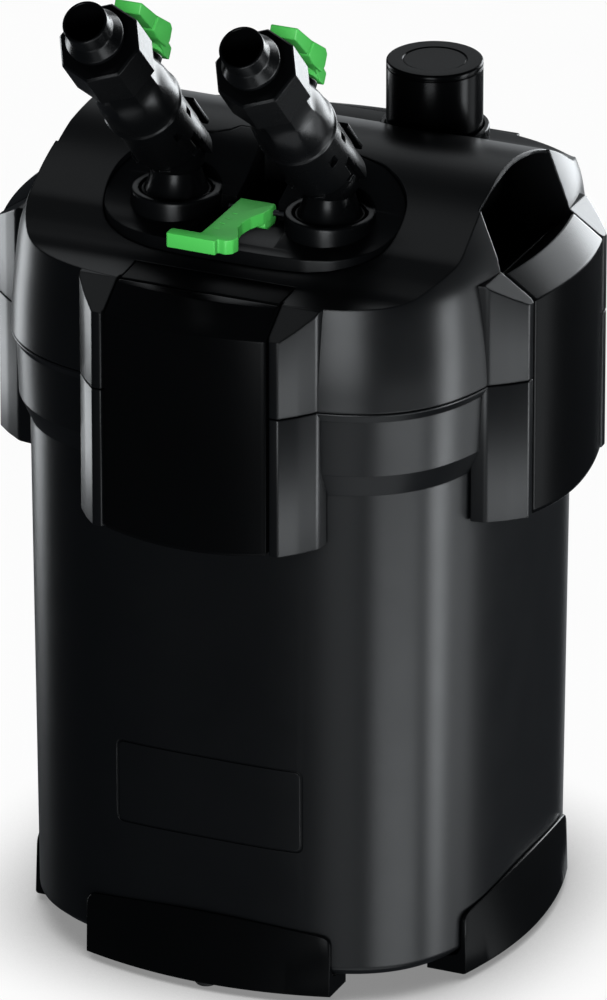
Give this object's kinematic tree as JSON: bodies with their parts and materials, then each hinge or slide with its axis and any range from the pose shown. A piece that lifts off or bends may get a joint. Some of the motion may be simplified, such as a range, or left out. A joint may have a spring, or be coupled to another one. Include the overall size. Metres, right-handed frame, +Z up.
{
  "type": "canister filter",
  "caption": "Upright canister filter: rounded-square bucket, motor head held by swinging side latches, leaning shut-off taps on a lift-out adapter, priming plunger, stacked media baskets.",
  "frame": {"origin": "on the floor plane under the middle of the whole part's bounding box, level with the undersides of the rubber foot pads", "axes": "+Z up along the bucket, -Y towards the side the taps lean to, +X to the right seen from that side"},
  "size_m": [0.2694, 0.2928, 0.4838],
  "materials": {
    "shell_black": "satin moulded charcoal black plastic",
    "head_black": "satin moulded black plastic",
    "gloss_black": "glossy black plastic",
    "rubber_black": "matt black rubber",
    "green_plastic": "bright green moulded plastic",
    "grey_plastic": "dark grey moulded plastic",
    "coarse_foam": "open-cell coarse blue filter foam",
    "fine_foam": "fine olive filter foam",
    "white_floss": "white fibre floss",
    "pin_steel": "plain stainless steel",
    "ceramic_white": "ground white ceramic",
    "magnet_dark": "dark overmoulded magnet"
  },
  "bodies": {
    "bucket": {"canister_bucket": "shell_black", "foot_front": "gloss_black", "foot_right": "gloss_black", "foot_back": "gloss_black", "foot_left": "gloss_black", "foot_pad_front": "rubber_black", "foot_pad_right": "rubber_black", "foot_pad_back": "rubber_black", "foot_pad_left": "rubber_black", "media_basket_lower": "grey_plastic", "media_basket_middle": "grey_plastic", "media_basket_upper": "grey_plastic", "coarse_foam_lower": "coarse_foam", "fine_foam_middle": "fine_foam", "floss_pad_upper": "white_floss", "riser_tube": "grey_plastic"},
    "head": {"head_cover": "head_black", "pump_plate": "grey_plastic", "main_seal": "rubber_black", "motor_housing": "grey_plastic", "impeller_cover": "grey_plastic", "impeller_shaft": "ceramic_white", "shaft_bush_lower": "rubber_black", "shaft_bush_upper": "rubber_black", "primer_collar": "gloss_black", "primer_spring": "pin_steel", "recess_cover_front": "gloss_black", "recess_cover_back": "gloss_black", "cord_gland": "rubber_black", "power_cord": "rubber_black", "latch_pin_front": "pin_steel", "latch_pin_right": "pin_steel", "latch_pin_back": "pin_steel", "latch_pin_left": "pin_steel"},
    "impeller_rotor": {"impeller": "magnet_dark"},
    "primer": {"primer_button": "gloss_black"},
    "adapter": {"adapter_block": "head_black", "adapter_seal_left": "rubber_black", "adapter_seal_right": "rubber_black", "lock_lever_pin": "pin_steel"},
    "lock": {"lock_lever": "green_plastic"},
    "latch_arm_front": {"latch_front": "gloss_black"},
    "latch_arm_right": {"latch_right": "gloss_black"},
    "latch_arm_back": {"latch_back": "gloss_black"},
    "latch_arm_left": {"latch_left": "gloss_black"},
    "tap_left": {"tap_elbow_left": "head_black", "tap_body_left": "head_black", "hose_nozzle_left": "head_black"},
    "nut_left": {"union_nut_left": "head_black"},
    "valve_left": {"valve_ball_left": "grey_plastic", "valve_lever_left": "green_plastic"},
    "tap_right": {"tap_elbow_right": "head_black", "tap_body_right": "head_black", "hose_nozzle_right": "head_black"},
    "nut_right": {"union_nut_right": "head_black"},
    "valve_right": {"valve_ball_right": "grey_plastic", "valve_lever_right": "green_plastic"}
  },
  "joints": [
    {"name": "head_lift", "type": "slide", "parent": "bucket", "child": "head", "axis": [0, 0, 1], "range_m": [0, 0.15]},
    {"name": "latch_front_hinge", "type": "hinge", "parent": "head", "child": "latch_arm_front", "pos_m": [0, -0.1048, 0.3347], "axis": [-1, 0, 0], "range_deg": [0, 78]},
    {"name": "latch_right_hinge", "type": "hinge", "parent": "head", "child": "latch_arm_right", "pos_m": [0.1165, 0.0117, 0.3347], "axis": [0, -1, 0], "range_deg": [0, 78]},
    {"name": "latch_back_hinge", "type": "hinge", "parent": "head", "child": "latch_arm_back", "pos_m": [0, 0.1282, 0.3347], "axis": [1, 0, 0], "range_deg": [0, 78]},
    {"name": "latch_left_hinge", "type": "hinge", "parent": "head", "child": "latch_arm_left", "pos_m": [-0.1165, 0.0117, 0.3347], "axis": [0, 1, 0], "range_deg": [0, 78]},
    {"name": "primer_press", "type": "slide", "parent": "head", "child": "primer", "axis": [0, 0, -1], "range_m": [0, 0.01], "stiffness_N_per_m": 300, "springref_m": -0.01, "deforming": ["primer_spring"]},
    {"name": "impeller_spin", "type": "hinge", "parent": "head", "child": "impeller_rotor", "pos_m": [-0.03, 0.0537, 0.3032], "axis": [0, 0, 1], "continuous": true},
    {"name": "adapter_lift", "type": "slide", "parent": "head", "child": "adapter", "axis": [0, 0, 1], "range_m": [0, 0.06]},
    {"name": "lock_lever_lift", "type": "hinge", "parent": "adapter", "child": "lock", "pos_m": [0, -0.0383, 0.3562], "axis": [-1, 0, 0], "range_deg": [0, 38]},
    {"name": "tap_left_swivel", "type": "hinge", "parent": "adapter", "child": "tap_left", "pos_m": [-0.0373, -0.0428, 0.3532], "axis": [0, 0, 1], "range_deg": [-90, 0]},
    {"name": "valve_left_turn", "type": "hinge", "parent": "tap_left", "child": "valve_left", "pos_m": [-0.0373, -0.08594, 0.42333], "axis": [0, 0.7071, 0.7071], "range_deg": [-90, 0]},
    {"name": "union_nut_left_spin", "type": "hinge", "parent": "tap_left", "child": "nut_left", "pos_m": [-0.0373, -0.11493, 0.45232], "axis": [0, -0.7071, 0.7071], "continuous": true},
    {"name": "tap_right_swivel", "type": "hinge", "parent": "adapter", "child": "tap_right", "pos_m": [0.0373, -0.0428, 0.3532], "axis": [0, 0, 1], "range_deg": [0, 90]},
    {"name": "valve_right_turn", "type": "hinge", "parent": "tap_right", "child": "valve_right", "pos_m": [0.0373, -0.08594, 0.42333], "axis": [0, 0.7071, 0.7071], "range_deg": [0, 90]},
    {"name": "union_nut_right_spin", "type": "hinge", "parent": "tap_right", "child": "nut_right", "pos_m": [0.0373, -0.11493, 0.45232], "axis": [0, -0.7071, 0.7071], "continuous": true}
  ]
}
